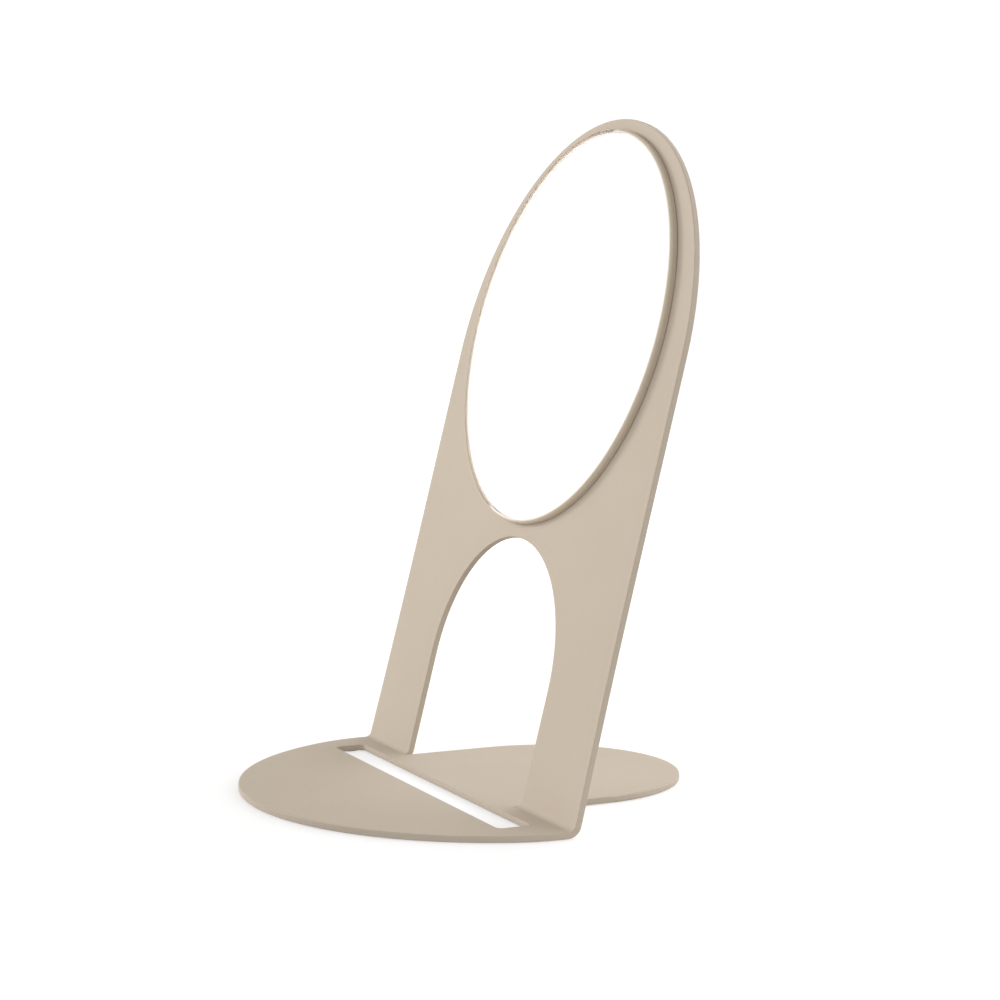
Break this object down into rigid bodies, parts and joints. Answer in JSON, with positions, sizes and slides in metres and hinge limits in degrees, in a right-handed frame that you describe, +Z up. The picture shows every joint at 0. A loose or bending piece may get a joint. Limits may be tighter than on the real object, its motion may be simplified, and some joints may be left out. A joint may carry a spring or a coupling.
{
  "type": "table mirror",
  "caption": "Round frameless mirror on a leaning stand bent from one coated steel sheet, with an arched cut-out, a flat rear tongue and a slot across the base that props up a phone.",
  "frame": {"origin": "middle of the footprint, on the surface the stand rests on", "axes": "+Z up, +X to the right when facing the mirror, +Y from the mirror side to the back"},
  "size_m": [0.2032, 0.1854, 0.2747],
  "materials": {
    "coated_steel": "beige matt powder coat",
    "clear_glass": "clear float glass with a ground, rounded edge",
    "silver": "mirror silvering",
    "backing_lacquer": "matt grey protective lacquer",
    "bonding_tape": "thin dark double-sided acrylic tape",
    "pad_silicone": "matt silicone"
  },
  "bodies": {
    "root": {"stand_sheet": "coated_steel", "mirror_glass": "clear_glass", "mirror_silvering": "silver", "mirror_backing": "backing_lacquer", "mounting_tape": "bonding_tape", "anti_slip_pads": "pad_silicone"}
  },
  "joints": []
}
